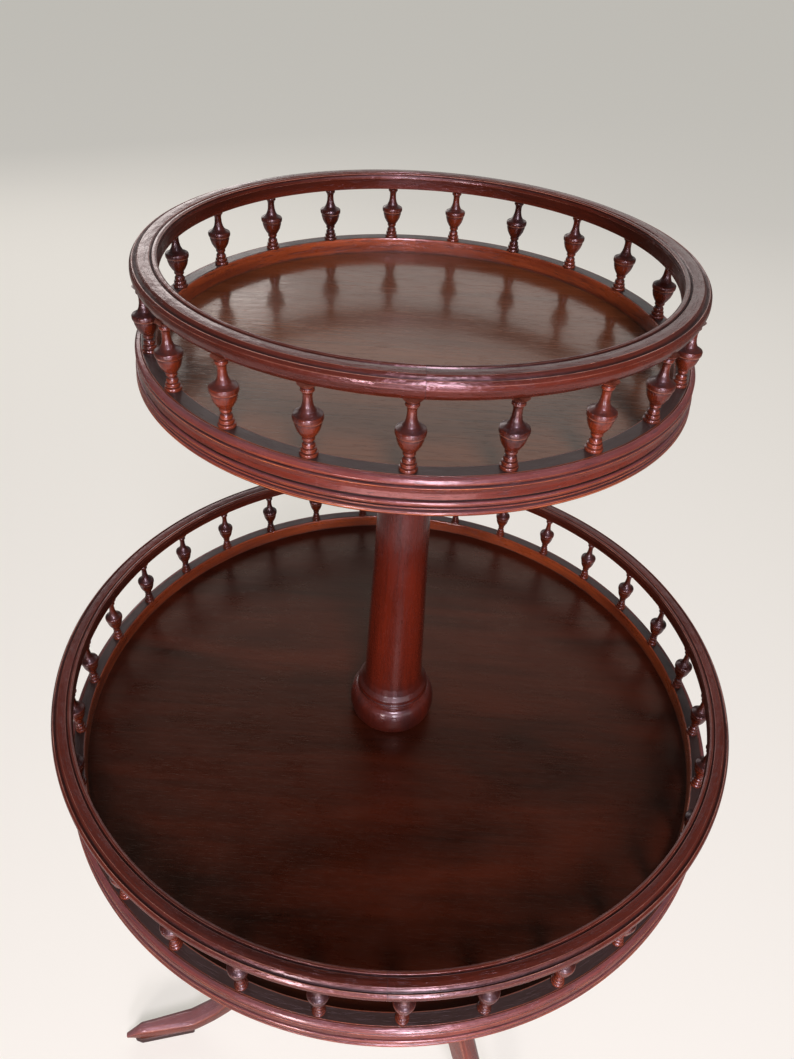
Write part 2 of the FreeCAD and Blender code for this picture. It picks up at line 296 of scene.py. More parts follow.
def woodMaterial(name, **changes):
    look = {**woodBase, **changes}
    material, tree = newMaterial(name)
    if look["fromObject"]:
        point = addNode(tree, "TexCoord").outputs["Object"]
    else:
        point = addNode(tree, "Attribute", attribute_name="grainPoint").outputs["Vector"]
    tone = addNode(tree, "Attribute", attribute_name="tone").outputs["Fac"]
    grain = useGroup(tree, grainGroup, {
        "Point": point, "Deep Wood": look["deep"], "Warm Wood": look["warm"], "Figure": look["figure"],
        "Streaks": look["streaks"], "Pores": look["pores"], "Balance": look["balance"],
    })
    wear = useGroup(tree, wearGroup, {"Tone": tone, "Point": point, "Amount": look["wear"]})
    polish = useGroup(tree, polishGroup, {
        "Point": point, "Gloss Low": look["glossLow"], "Gloss High": look["glossHigh"],
        "Bloom": look["bloomAmount"],
    })
    # A painted sheen with polish bloom on faces turned up, then worn edges with painted highlights, then
    # dirt with painted shade
    bloomed = addMix(tree, polish["Bloom Mask"], grain["Color"], look["bloom"])
    worn = addMix(tree, wear["Worn"], bloomed, look["worn"])
    colour = addMix(tree, wear["Dirt"], worn, look["dirt"])
    poreRough = addMath(tree, "MULTIPLY", grain["Pore Mask"], look["poreRough"])
    dirtRough = addMath(tree, "MULTIPLY", wear["Dirt"], look["dirtRough"])
    rough = addMath(tree, "ADD", polish["Roughness"], poreRough, clamp=True)
    rough = addMath(tree, "ADD", rough, dirtRough, clamp=True)
    dented = addNode(tree, "Bump", {"Height": polish["Height"], "Strength": 1.0, "Distance": look["dents"]})
    bump = addNode(tree, "Bump", {
        "Height": grain["Height"], "Strength": 1.0, "Distance": look["relief"], "Normal": dented.outputs[0],
    })
    addSurface(tree, {
        "Base Color": colour, "Roughness": rough, "Normal": bump.outputs[0], "IOR": look["bend"],
        "Specular Tint": look["polishTint"], "Coat Weight": look["coat"],
        "Coat Roughness": look["coatRough"],
    })
    return material


# Mesh helpers
cornerReach = 0.46  # the most of an edge that one rounded corner takes


def roundedOutline(corners, closed=True, steps=4):
    points = []
    last = len(corners) - 1
    for number, (out, up, radius, tone) in enumerate(corners):
        here = Vector((out, up))
        if radius == 0 or (not closed and number in (0, last)):
            points.append((out, up, tone))
            continue
        before = Vector(corners[number - 1][:2]) - here
        after = Vector(corners[(number + 1) % len(corners)][:2]) - here
        half = before.angle(after) / 2
        longest = min(before.length, after.length) * cornerReach
        reach = min(radius / math.tan(half), longest)
        start = here + before.normalized() * reach
        end = here + after.normalized() * reach
        for step in range(steps + 1):
            share = step / steps
            spot = start * (1 - share) ** 2 + here * 2 * share * (1 - share) + end * share ** 2
            points.append((spot.x, spot.y, tone if tone < 0 else tone * (1 - abs(2 * share - 1))))
    return points


# Corners given from a radius and a level, put in their place on the table
def placed(section, radius, level):
    return [(radius + out, level + up, corner, tone) for out, up, corner, tone in section]


# Half an ellipse between two points of a turned outline
def halfRound(foot, top, crest, steps=10, tone=0.0):
    corners = []
    for step in range(steps + 1):
        share = step / steps
        across = math.sin(math.pi * share)
        rise = (1 - math.cos(math.pi * share)) / 2
        root = foot[0] + (top[0] - foot[0]) * rise
        up = foot[1] + (top[1] - foot[1]) * rise
        corners.append((root + (crest - root) * across, up, 0, tone * across))
    return corners


def curveBetween(p, q, r, s, t):
    slope = r - p
    bend = 2 * p - 5 * q + 4 * r - s
    turn = 3 * q - p - 3 * r + s
    return 0.5 * (2 * q + slope * t + bend * t * t + turn * t ** 3)


# A smooth line through points, for a vase
def smoothThrough(points, steps=5):
    line = []
    padded = [points[0]] + list(points) + [points[-1]]
    for near in zip(padded, padded[1:], padded[2:], padded[3:]):
        for step in range(steps):
            line.append(tuple(curveBetween(*values, step / steps) for values in zip(*near)))
    line.append(tuple(points[-1]))
    return line


def counterClockwise(outline):
    area = sum(a[0] * b[1] - b[0] * a[1] for a, b in zip(outline, outline[1:] + outline[:1]))
    return outline if area > 0 else outline[::-1]


# Faces over stacked loops of points, with the first and the last loop closed by a flat end
def skinFaces(count, loops, ends=True):
    faces = []
    for level in range(loops - 1):
        a, b = level * count, (level + 1) * count
        for spot in range(count):
            after = (spot + 1) % count
            faces.append((a + spot, a + after, b + after, b + spot))
    if ends:
        faces.append(tuple(reversed(range(count))))
        faces.append(tuple((loops - 1) * count + spot for spot in range(count)))
    return faces


def meshPiece(name, verts, faces, grain, tones, material, sharpAbove=40):
    mesh = bpy.data.meshes.new(name)
    mesh.from_pydata(verts, [], faces)
    mesh.attributes.new("grainPoint", "FLOAT_VECTOR", "POINT").data.foreach_set(
        "vector", [value for point in grain for value in point])
    mesh.attributes.new("tone", "FLOAT", "POINT").data.foreach_set("value", tones)
    mesh.validate()
    mesh.shade_smooth()
    mesh.set_sharp_from_angle(angle=math.radians(sharpAbove))
    mesh.materials.append(material)
    piece = bpy.data.objects.new(name, mesh)
    bpy.context.scene.collection.objects.link(piece)
    return piece


def settle(piece, nodes):
    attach(piece, "root")
    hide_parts(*nodes)


# A ring all the way round has its seam at the back
fullRing = {"start": 92, "sweep": 360, "segments": 256}


# A section in (radius, height) mm swept round the table's axis, its grain running round the ring
def sweptRing(name, section, material, start, sweep, segments, joint=None):
    section = counterClockwise(section)
    count = len(section)
    mean = sum(point[0] for point in section) / count
    shift = chance.uniform(0, grainSpread)
    turns = [sweep * step / segments for step in range(segments + 1)]
    if joint:
        turns[1:1] = [joint["width"]]
        turns[-1:-1] = [sweep - joint["width"]]
    last = len(turns) - 1
    verts, grain, tones, faces = [], [], [], []
    for turn in turns:
        angle = math.radians(start + turn)
        atJoint = joint and turn in (0, sweep)
        for out, up, tone in section:
            verts.append((out * mm * math.cos(angle), out * mm * math.sin(angle), up * mm))
            grain.append((shift + angle * mean * mm, (out - mean) * mm + shift, up * mm))
            tones.append(joint["tone"] if atJoint else tone)
    for step in range(last):
        for spot in range(count):
            after = (spot + 1) % count
            a, b = step * count, (step + 1) * count
            faces.append((a + spot, b + spot, b + after, a + after))
    if sweep < 360:
        faces.append(tuple(range(count)))
        faces.append(tuple(last * count + spot for spot in reversed(range(count))))
    return meshPiece(name, verts, faces, grain, tones, material)


def roundPlan(sides):
    turns = [2 * math.pi * side / sides for side in range(sides)]
    return [(math.cos(turn), math.sin(turn)) for turn in turns]


# A flat-sided plan with slightly rounded corners, to match an eight-sided block
def facetedPlan(sides, softness=0.04):
    corners = roundPlan(sides)
    plan = []
    for number, corner in enumerate(corners):
        before, after = Vector(corners[number - 1]), Vector(corners[(number + 1) % sides])
        here = Vector(corner)
        for near in (here.lerp(before, softness), here.lerp((before + after) / 2, softness / 3),
                     here.lerp(after, softness)):
            plan.append((near.x, near.y))
    return plan


# An outline turned about an upright axis: verts, faces, grain points and tones
def turned(outline, plan, centre=(0.0, 0.0), lift=0.0):
    shift = [chance.uniform(0, grainSpread) for axis in range(3)]
    verts, grain, tones = [], [], []
    for out, up, tone in outline:
        for x, y in plan:
            verts.append(((centre[0] + out * x) * mm, (centre[1] + out * y) * mm, (lift + up) * mm))
            grain.append((shift[0] + up * mm, shift[1] + out * x * mm, shift[2] + out * y * mm))
            tones.append(tone)
    return verts, skinFaces(len(plan), len(outline)), grain, tones


def joinParts(parts):
    verts, faces, grain, tones = [], [], [], []
    for partVerts, partFaces, partGrain, partTones in parts:
        faces += [tuple(spot + len(verts) for spot in face) for face in partFaces]
        verts += partVerts
        grain += partGrain
        tones += partTones
    return verts, faces, grain, tones


# A flat plate from a plan outline in mm, with its top and bottom edges eased
def easedPlate(plan, bottom, top, ease, along=(1.0, 0.0), tone=0.5):
    plan = counterClockwise(plan)
    inward = []
    for number in range(len(plan)):
        edge = Vector(plan[(number + 1) % len(plan)]) - Vector(plan[number - 1])
        inward.append(Vector((-edge.y, edge.x)).normalized())
    layers = [(bottom, ease, tone), (bottom + ease, 0, 0), (top - ease, 0, 0), (top, ease, tone)]
    verts, grain, tones = [], [], []
    for height, inset, layerTone in layers:
        for (x, y), turn in zip(plan, inward):
            x, y = x + turn.x * inset, y + turn.y * inset
            run = (x * along[0] + y * along[1]) * mm
            verts.append((x * mm, y * mm, height * mm))
            grain.append((run, (y * along[0] - x * along[1]) * mm, height * mm))
            tones.append(layerTone)
    return verts, skinFaces(len(plan), len(layers)), grain, tones


def turnAbout(point, degrees):
    angle = math.radians(degrees)
    x, y = point[0], point[1]
    turnedX = x * math.cos(angle) - y * math.sin(angle)
    turnedY = x * math.sin(angle) + y * math.cos(angle)
    return (turnedX, turnedY, *point[2:])


# Trays
trays = {
    "upper": {
        "railRadius": 168.7, "railTop": 1027.7, "ringRadius": 168.6, "ringTop": 977.5, "boardTop": 966.6,
        "spindleCircle": 163.6, "spindleLength": 38.6, "spindleCount": 21, "firstSpindle": 270.2,
        "boardBottom": 954.6, "cleatRadius": 57,
    },
    "lower": {
        "railRadius": 280.0, "railTop": 679.1, "ringRadius": 274.0, "ringTop": 619.6, "boardTop": 606.0,
        "spindleCircle": 269.0, "spindleLength": 47.9, "spindleCount": 31, "firstSpindle": 274.5,
        "boardBottom": 594.0, "cleatRadius": 75,
    },
}


# Gallery rails, bent in two halves
rail = {
    "jointAngle": 272.0,
    "segments": 150,
    "joint": {"width": 0.1, "tone": -0.8},  # degrees of dark glue line on each side
    # out from the rail's radius, up from its top
    # Tones over 0 are worn edges and a painted highlight along the fascia's top edge; tones under 0 darken
    # the quirks with dirt and painted shade
    "section": [
        (-15.4, -11.6, 0.7, 0.3), (-3.2, -11.6, 1.0, 0.4), (-1.3, -9.0, 3.0, 0.0), (-0.1, -5.6, 2.5, 0.0),
        (-0.5, -3.2, 1.2, 0.2), (-2.1, -1.3, 0.6, 1.0), (-2.8, -2.1, 0, -0.3), (-3.4, -2.5, 0, -1.0),
        (-3.9, -2.2, 0, -0.8), (-4.6, -1.0, 0, -0.1), (-5.6, -0.15, 0.7, 0.5), (-8.6, 0.0, 3.0, 0.0),
        (-11.5, -0.3, 0.6, 0.5), (-11.9, -1.1, 0, -0.6), (-12.4, -1.5, 0, -1.1), (-12.8, -1.0, 0, -0.4),
        (-13.2, -0.3, 0.4, 0.4), (-14.5, 0.0, 1.2, 0.3), (-15.7, -0.7, 0.5, 1.0), (-15.7, -1.4, 0, -0.3),
        (-15.3, -1.9, 0, -1.0), (-15.6, -2.6, 0, -0.2), (-15.7, -4.0, 0.3, 0.9), (-15.4, -4.6, 0, -0.4),
    ],
}
railWood = woodMaterial("railMahogany", deep=(0.016, 0.0035, 0.002, 1), warm=(0.115, 0.017, 0.007, 1),
                        streaks=0.4, pores=0.4, wear=1.1, dirt=(0.009, 0.0045, 0.003, 1),
                        bloom=(0.36, 0.21, 0.21, 1), bloomAmount=0.02, coat=0.2, coatRough=0.16,
                        polishTint=(1.0, 0.60, 0.70, 1), dents=0.0009)


def makeRails():
    for trayName, tray in trays.items():
        section = roundedOutline(placed(rail["section"], tray["railRadius"], tray["railTop"]))
        for side, start in (("right", rail["jointAngle"]), ("left", rail["jointAngle"] - 180)):
            piece = sweptRing(f"{trayName}RailBent_{side}", section, railWood, start, 180, rail["segments"],
                              rail["joint"])
            settle(piece, [f"{trayName}_rail_{side}"])


makeRails()
print("rails made")


# Base rings under the spindles
baseRing = {
    # out from the ring's radius, up from the board
    "foot": [(-9.2, 0.0, 0, -1.0), (0.0, 0.0, 0.2, 0.0)],
    # out from the ring's radius, up from its top
    # The top is darkened all across, dirt and painted shade under the rail and among the spindles; the pale
    # line at its inner edge is wear and a painted highlight
    "crown": [(0.0, 0.0, 0.25, -0.6), (-0.6, 0.0, 0, -1.6), (-1.2, 0.0, 0, -1.8), (-6.8, 0.0, 0, -1.8),
              (-7.7, 0.0, 0.4, -1.5), (-8.7, -0.3, 0.4, 0.7), (-9.2, -1.4, 0.7, -0.15)],
    # out from the ring's radius, up from the board
    "inside": [(-9.2, 1.8, 0, -0.35)],
}
# Its warm colour is raised above the other pieces' as painted light on the ring's lit inner face
ringWood = woodMaterial("baseRingMahogany", warm=(0.42, 0.082, 0.02, 1), deep=(0.10, 0.014, 0.005, 1),
                        dirt=(0.022, 0.011, 0.007, 1), worn=(0.30, 0.19, 0.11, 1), wear=0.5,
                        bloomAmount=0.0, coat=0.3)


def makeBaseRings():
    for trayName, tray in trays.items():
        corners = []
        for part, level in (("foot", "boardTop"), ("crown", "ringTop"), ("inside", "boardTop")):
            corners += placed(baseRing[part], tray["ringRadius"], tray[level])
        piece = sweptRing(f"{trayName}RingTurned", roundedOutline(corners), ringWood, **fullRing)
        settle(piece, [f"{trayName}_base_ring"])


makeBaseRings()
print("base rings made")


# Edge mouldings: a rounded lip, a bead, a cove, and two beads over a rounded foot
moulding = {
    "gap": 0.1,
    # out from the ring, up from its top
    # Tones under 0 darken the quirks with dirt and painted shade; tones over 0 brighten the lip and the
    # lower bands, wear with a painted highlight
    "section": [
        (0.0, -20.4, 0.4, 0.0), (4.5, -20.4, 0.9, 0.9), (5.3, -19.1, 1.1, 1.0), (4.9, -18.1, 0.5, 0.8),
        (4.1, -17.8, 0, -0.6), (3.4, -17.3, 0, -1.2), (3.8, -16.8, 0, -0.6), (4.6, -16.6, 0.3, 0.8),
        (4.6, -15.9, 0.3, 0.6), (3.5, -15.7, 0, -1.2), (3.9, -15.2, 0, -0.4), (4.7, -14.6, 0.7, 0.4),
        (4.7, -13.4, 0.9, 0.5), (4.1, -12.7, 0.5, 0.0), (2.7, -12.4, 0, -1.3), (2.7, -11.7, 0, -1.2),
        (3.6, -11.2, 0.3, 0.6), (3.1, -8.2, 3.0, 0.0), (3.3, -6.0, 0.8, 0.2), (3.9, -5.0, 0.3, 1.0),
        (2.9, -4.7, 0, -0.8), (2.3, -4.2, 0, -1.3), (2.8, -3.7, 0, -0.8), (3.6, -3.4, 0.4, 0.1),
        (3.7, -2.3, 0.9, 0.3), (2.4, -0.8, 2.0, 0.1), (0.6, -0.1, 0.5, 0.5), (0.0, -0.3, 0.2, -1.0),
    ],
}
# The orange worn colour is wear and a painted reflection of a warm floor on the lower bands; the mauve bloom
# is a painted sheen on the bands turned up
mouldingWood = woodMaterial("mouldingMahogany", deep=(0.025, 0.0045, 0.0025, 1),
                            warm=(0.19, 0.023, 0.008, 1), worn=(0.44, 0.135, 0.045, 1),
                            dirt=(0.008, 0.0035, 0.0025, 1), streaks=0.4, pores=0.6, wear=1.0,
                            bloom=(0.38, 0.24, 0.29, 1), bloomAmount=0.16, coat=0.25,
                            polishTint=(1.0, 0.60, 0.68, 1), dents=0.0006)


def makeMouldings():
    for trayName, tray in trays.items():
        corners = placed(moulding["section"], tray["ringRadius"] + moulding["gap"], tray["ringTop"])
        piece = sweptRing(f"{trayName}MouldingRun", roundedOutline(corners), mouldingWood, **fullRing)
        settle(piece, [f"{trayName}_edge_moulding"])


makeMouldings()
print("mouldings made")


# Spindles: stacked rings, an urn with an incised belt, a bell shoulder, a neck, a collar and a cap
spindle = {
    "belly": 7.6,
    "sides": 28,
    # radius as a share of the belly, height as a share of the length
    # The bright line at the rim's lower edge is a painted highlight, the shoulder and neck are darkened as
    # painted shade, and the dark lines between the rings are dirt and painted shade
    "outline": [
        (0.61, 0.000, 0.3, -0.6), (0.63, 0.020, 0.5, 0.4), (0.61, 0.044, 0.5, 0.2), (0.49, 0.056, 0, -0.8),
        (0.54, 0.070, 0.5, 0.4), (0.52, 0.106, 0.5, 0.2), (0.40, 0.118, 0, -0.8), (0.45, 0.132, 0.5, 0.4),
        (0.43, 0.168, 0.5, 0.2), (0.33, 0.190, 0.4, -0.7), (0.34, 0.212, 0.4, -0.4),
        (0.43, 0.232, 0.4, 0.3), (0.42, 0.258, 0.3, 0.2), (0.42, 0.270, 0, -0.6), (0.58, 0.312, 1.0, 0.0),
        (0.77, 0.378, 2.0, 0.0), (0.88, 0.450, 1.0, 0.0), (0.90, 0.494, 0, -0.8), (0.955, 0.504, 0, 1.0),
        (0.985, 0.516, 0, 0.4), (1.0, 0.535, 0, -0.4), (1.0, 0.566, 0, -0.5), (0.965, 0.582, 0, -0.2),
        (0.93, 0.588, 0, -0.75), (0.74, 0.606, 1.0, -0.75), (0.53, 0.636, 1.6, -0.7),
        (0.395, 0.690, 1.8, -0.6), (0.325, 0.750, 2.0, -0.4), (0.30, 0.828, 2.0, -0.1),
        (0.335, 0.870, 1.0, 0.0), (0.385, 0.888, 0, -0.7), (0.46, 0.904, 0.4, 0.6), (0.45, 0.932, 0.3, 0.2),
        (0.41, 0.944, 0, -0.8), (0.60, 0.984, 1.0, 0.3), (0.67, 1.0, 0.2, 0.3),
    ],
}
spindleWood = woodMaterial("spindleMahogany", deep=(0.02, 0.003, 0.0014, 1), warm=(0.145, 0.022, 0.0065, 1),
                           dirt=(0.012, 0.004, 0.004, 1), figure=0.8, pores=0.35, wear=0.7,
                           bloomAmount=0.0, coat=0.25, glossLow=0.14, glossHigh=0.25, dents=0.0003)


def spindleAngles(tray):
    return [(tray["firstSpindle"] + 360 * number / tray["spindleCount"]) % 360
            for number in range(tray["spindleCount"])]


def turnSpindle(tray, angle):
    corners = [(spindle["belly"] * out, tray["spindleLength"] * up, radius, tone)
               for out, up, radius, tone in spindle["outline"]]
    outline = roundedOutline(corners, closed=False, steps=2)
    centre = turnAbout((tray["spindleCircle"], 0.0), angle)
    return turned(outline, roundPlan(spindle["sides"]), centre, tray["ringTop"])


def makeSpindles():
    upper, lower = trays["upper"], trays["lower"]
    for number, angle in enumerate(spindleAngles(upper), 1):
        piece = meshPiece(f"upperSpindleTurned_{number:02d}", *turnSpindle(upper, angle), spindleWood)
        settle(piece, [f"upper_spindle_{number:02d}"])
    for side in ("left", "right"):
        parts = []
        for angle in spindleAngles(lower):
            onLeft = rail["jointAngle"] - 180 < angle < rail["jointAngle"]
            if onLeft == (side == "left"):
                parts.append(turnSpindle(lower, angle))
        piece = meshPiece(f"lowerSpindlesTurned_{side}", *joinParts(parts), spindleWood)
        settle(piece, [f"lower_spindles_{side}"])


makeSpindles()
print("spindles made")


# Column between the trays
column = {
    "sides": 96,
    "foot": 606.0,
    # The torus is darkened across its middle as painted shade; the foot where it meets the board and the
    # grooves take dirt and painted shade
    "outline": (
        [(31.2, 0.0, 0, -1.2)] + halfRound((31.6, 0.6), (29.6, 28.8), 37.3, steps=18, tone=-0.45)
        + [(29.2, 29.2, 0, -1.6), (29.4, 30.0, 0, -1.2), (30.4, 30.4, 0.4, 0.3), (31.0, 31.8, 0.5, 0.3),
           (30.4, 33.2, 0.2, -0.8), (30.0, 33.6, 0, -1.2), (30.9, 34.6, 0.7, 0.1), (30.2, 37.4, 2.2, -0.4),
           (27.4, 41.0, 4.0, -0.5), (25.4, 47.0, 6.0, -0.3), (24.7, 56.0, 5.0, 0.0), (20.9, 190.0, 5.0, 0.0),
           (17.0, 330.6, 0, 0.0)]
    ),
}
columnWood = woodMaterial("columnMahogany", deep=(0.016, 0.0022, 0.0012, 1),
                          warm=(0.115, 0.0125, 0.0045, 1), figure=0.6, streaks=0.3, pores=0.3, wear=0.6,
                          bloomAmount=0.04, coat=0.5, coatRough=0.11, glossLow=0.18, glossHigh=0.30,
                          bend=1.5, dents=0.0003)


def makeColumn():
    outline = roundedOutline(column["outline"], closed=False)
    turning = turned(outline, roundPlan(column["sides"]), lift=column["foot"])
    settle(meshPiece("columnTurned", *turning, columnWood), ["column"])


makeColumn()
print("column made")


# Pedestal under the lower tray: drum, ring, vase and capital
pedestal = {
    "foot": 245.0,
    "vaseBelly": 31.0,
    "vaseFoot": 106.0,
    "vaseLength": 207.0,
    # shares of the belly and of the length
    "vase": [(0.65, 0.0), (0.85, 0.08), (0.97, 0.18), (1.0, 0.28), (0.92, 0.4), (0.72, 0.53), (0.56, 0.66),
             (0.54, 0.78), (0.66, 0.9), (0.8, 0.97)],
    "drum": [(28.0, 0.0, 0, 0.0), (31.0, 0.0, 0.6, 0.3), (34.0, 3.0, 1.0, 0.3), (34.0, 88.0, 2.0, 0.0),
             (33.2, 91.4, 0.4, -0.9)],
    "ring": halfRound((33.4, 92.4), (33.4, 105.2), 38.0, tone=0.2),
    "underVase": [(21.5, 105.8, 0.5, -0.9)],
    "overVase": [(27.6, 311.8, 0.4, -0.8)],
    "capital": halfRound((29.0, 313.2), (29.0, 328.0), 36.0, tone=0.2),
    "top": [(28.6, 329.4, 0.4, -0.8), (30.0, 331.0, 0, 0.2)],
}


def makePedestal():
    vase = [(pedestal["vaseBelly"] * out, pedestal["vaseFoot"] + pedestal["vaseLength"] * up, 0, 0.0)
            for out, up in smoothThrough(pedestal["vase"])]
    corners = (pedestal["drum"] + pedestal["ring"] + pedestal["underVase"] + vase[1:]
               + pedestal["overVase"] + pedestal["capital"] + pedestal["top"])
    outline = roundedOutline(corners, closed=False)
    turning = turned(outline, roundPlan(column["sides"]), lift=pedestal["foot"])
    settle(meshPiece("pedestalTurned", *turning, columnWood), ["pedestal"])


makePedestal()
print("pedestal made")


# Legs: a shaped side outline with an eased back, tapering in plan to a blunt toe
leg = {
    "angles": {"left": 195.5, "front_right": 315.5, "back": 75.5},
    "width": [(0.0, 22.0), (241.0, 22.0), (304.0, 14.0), (325.0, 5.4)],  # by the distance out
    # out and up, along the back of the leg
    "crown": (32.0, 324.6),
    "knee": (133.3, 235.2),
    "shin": (181.0, 108.0),
    "ankle": (195.0, 71.1),
    "instep": (217.1, 44.1),
    "footTop": (241.0, 29.5),
    "toeTop": (304.0, 29.5),
    "toeTip": (324.2, 14.9),
    # out and up, along the underside
    "drumFoot": (32.0, 245.0),
    "thigh": (84.5, 245.0),
    "kneeUnder": (112.1, 205.8),
    "calf": (152.4, 103.9),
    "heel": (241.0, 10.0),
    "sole": (304.0, 10.0),
    "toeUnder": (323.0, 11.6),
    "arcSteps": {"long": 12, "short": 9},
    "stations": {"knee": 18, "shin": 10, "instep": 16, "foot": 8, "toe": 6},
    "topEase": 5.0,
    "footEase": 1.6,
    # shares of the leg's width and depth that an ease may take, and of the ease in its outline
    "easeShare": {"topWidth": 0.3, "topDepth": 0.4, "foot": 0.2, "drop": 0.55, "side": 0.8, "back": 0.9},
    "backRadius": 6.0,
    "backDrop": 0.1,
    "tones": {"foot": 0.3, "side": 0.55, "back": 0.25},
}
# The strong mauve bloom paints a sheen of highlights along the legs' tops
legWood = woodMaterial("legMahogany", warm=(0.20, 0.034, 0.012, 1), figure=0.7, streaks=0.35, pores=0.5,
                       wear=0.8, bloom=(0.46, 0.28, 0.32, 1), bloomAmount=0.38, coat=0.3, glossLow=0.14,
                       glossHigh=0.26, dents=0.0007)


# Points of the arc that leaves start along a heading and ends at end
def arcPoints(start, heading, end, count):
    start, end = Vector(start), Vector(end)
    heading = Vector(heading).normalized()
    across = Vector((-heading.y, heading.x))
    chord = end - start
    radius = chord.length_squared / (2 * chord.dot(across))
    centre = start + across * radius
    sweep = 2 * chord.angle(heading) * (1 if radius > 0 else -1)
    points = []
    for step in range(count + 1):
        turn = Matrix.Rotation(sweep * step / count, 2)
        points.append(tuple(centre + turn @ (start - centre)))
    return points


# Evenly spaced points along a line of points
def spaced(line, count):
    line = [Vector(point) for point in line]
    lengths = [(b - a).length for a, b in zip(line, line[1:])]
    total = sum(lengths)
    points = []
    for step in range(count + 1):
        left = total * step / count
        for number, length in enumerate(lengths):
            if left <= length or number == len(lengths) - 1:
                points.append(line[number].lerp(line[number + 1], min(1, left / length)))
                break
            left -= length
    return points


def widthAt(reach):
    for (a, wide), (b, narrow) in zip(leg["width"], leg["width"][1:]):
        if reach <= b:
            return wide + (narrow - wide) * (reach - a) / (b - a)
    return leg["width"][-1][1]


def legStations():
    long, short = leg["arcSteps"]["long"], leg["arcSteps"]["short"]
    shinAlong = Vector(leg["ankle"]) - Vector(leg["knee"])
    calfAlong = Vector(leg["calf"]) - Vector(leg["kneeUnder"])
    overKnee = arcPoints(leg["knee"], -shinAlong, leg["crown"], long)[::-1]
    toInstep = arcPoints(leg["ankle"], shinAlong, leg["instep"], short)
    underFoot = arcPoints(leg["calf"], calfAlong, leg["heel"], long)
    behindKnee = arcPoints(leg["kneeUnder"], -calfAlong, leg["thigh"], short)[::-1]
    stretches = {
        "knee": (overKnee, [leg["drumFoot"], leg["thigh"]] + behindKnee[1:]),
        "shin": ([leg["knee"], leg["shin"]], [leg["kneeUnder"], leg["calf"]]),
        "instep": ([leg["shin"], leg["ankle"]] + toInstep[1:] + [leg["footTop"]], underFoot),
        "foot": ([leg["footTop"], leg["toeTop"]], [leg["heel"], leg["sole"]]),
        "toe": ([leg["toeTop"], leg["toeTip"]], [leg["sole"], leg["toeUnder"]]),
    }
    stations = []
    for stretch, (top, bottom) in stretches.items():
        count = leg["stations"][stretch]
        pairs = list(zip(spaced(top, count), spaced(bottom, count)))
        stations += pairs if not stations else pairs[1:]
    return stations


def legSection(width, depth):
    share = leg["easeShare"]
    ease = min(leg["topEase"], width * share["topWidth"], depth * share["topDepth"])
    foot = min(leg["footEase"], width * share["foot"], depth * share["foot"])
    half = width / 2
    shoulder = depth - ease * share["drop"]
    back = depth - leg["backDrop"]
    tones = leg["tones"]
    return roundedOutline([
        (-half, 0.0, foot, tones["foot"]),
        (half, 0.0, foot, tones["foot"]),
        (half, shoulder, ease * share["side"], tones["side"]),
        (half - ease, back, ease * share["back"], tones["back"]),
        (0.0, depth, leg["backRadius"], 0.0),
        (-half + ease, back, ease * share["back"], tones["back"]),
        (-half, shoulder, ease * share["side"], tones["side"]),
    ], steps=3)


def makeLeg(side, angle):
    shift = chance.uniform(0, grainSpread)
    verts, grain, tones = [], [], []
    run = 0.0
    before = None
    stations = legStations()
    for top, bottom in stations:
        middle = (top + bottom) / 2
        run += (middle - before).length if before else 0
        before = middle
        depth = (top - bottom).length
        rise = (top - bottom).normalized()
        section = legSection(widthAt(middle.x), depth)
        for across, up, tone in section:
            spot = bottom + rise * up
            verts.append(turnAbout((spot.x * mm, across * mm, spot.y * mm), angle))
            grain.append((shift + run * mm, across * mm + shift, up * mm))
            tones.append(tone)
    faces = skinFaces(len(verts) // len(stations), len(stations))
    piece = meshPiece(f"legShaped_{side}", verts, faces, grain, tones, legWood)
    piece.data.flip_normals()
    settle(piece, [f"leg_{side}"])


for legSide, legAngle in leg["angles"].items():
    makeLeg(legSide, legAngle)
print("legs made")


# Foot pads
footPad = {
    "plan": [(240.0, 9.7), (306.0, 8.6), (314.0, 4.0)],  # out and half the width
    "thickness": 10.0,
    "ease": 0.8,
    "corner": 2.0,
}
padWood = woodMaterial("padWood", deep=(0.012, 0.006, 0.004, 1), warm=(0.05, 0.022, 0.014, 1),
                       worn=(0.2, 0.12, 0.08, 1), bloomAmount=0.0, coat=0.1, glossLow=0.5, glossHigh=0.75,
                       dents=0.0015)


def makePads():
    corners = [(x, y, footPad["corner"], 0.0) for x, y in footPad["plan"]]
    corners += [(x, -y, footPad["corner"], 0.0) for x, y in footPad["plan"][::-1]]
    outline = [(x, y) for x, y, tone in roundedOutline(corners, steps=3)]
    for side, angle in leg["angles"].items():
        plan = [turnAbout(point, angle) for point in outline]
        along = turnAbout((1.0, 0.0), angle)
        plate = easedPlate(plan, 0.0, footPad["thickness"], footPad["ease"], along)
        piece = meshPiece(f"footPadShaped_{side}", *plate, padWood)
        settle(piece, [f"foot_pad_{side}"])


makePads()
print("foot pads made")


# Metals of the screws and the brace
metalBase = {
    "wear": 0.8,
    "stain": ((130.0, 130.0, 130.0), 5.0, 0.65),
    "pits": ((900.0, 900.0, 900.0), 2.0, 0.6),
    "pitDepth": 0.00015,
    "rustEdge": (0.48, 0.68),
    "roughEdge": (0.3, 0.7),
    "roughSpread": 0.3,
    "brighter": 2.2,
    "dirt": (0.01, 0.008, 0.007, 1),
    "sharpAbove": 30,
}


